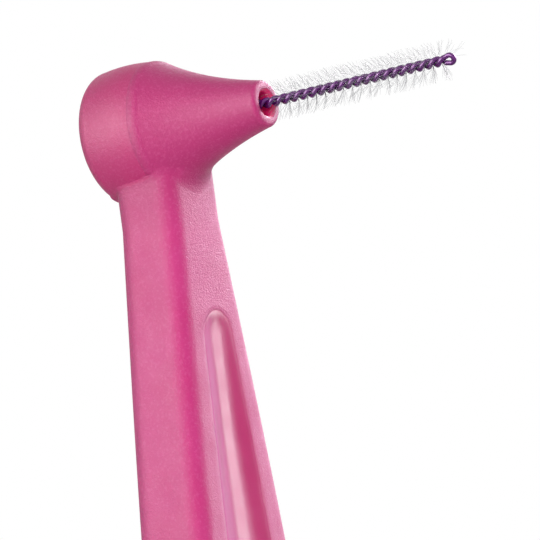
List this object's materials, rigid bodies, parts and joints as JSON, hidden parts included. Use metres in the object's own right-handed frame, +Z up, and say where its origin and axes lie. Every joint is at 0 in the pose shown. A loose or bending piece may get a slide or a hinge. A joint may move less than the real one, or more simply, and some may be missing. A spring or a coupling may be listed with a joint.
{
  "type": "interdental brush",
  "caption": "Interdental brush: a flat recessed handle with a fixed angled head that holds a short twisted-wire brush.",
  "frame": {"origin": "centre of the flat butt end of the handle", "axes": "+Z up the handle from the butt end to the head, +X the way the brush points, +Y across the handle's width"},
  "size_m": [0.0222, 0.0102, 0.1396],
  "materials": {
    "handle_plastic": "pink moulded plastic with a fine spark-eroded texture, polished in the recesses",
    "coated_wire": "dark purple plastic coating on thin steel wire, glossy",
    "filament_nylon": "clear white nylon filaments"
  },
  "bodies": {
    "root": {"handle": "handle_plastic", "core_wire": "coated_wire", "filaments": "filament_nylon"}
  },
  "joints": []
}
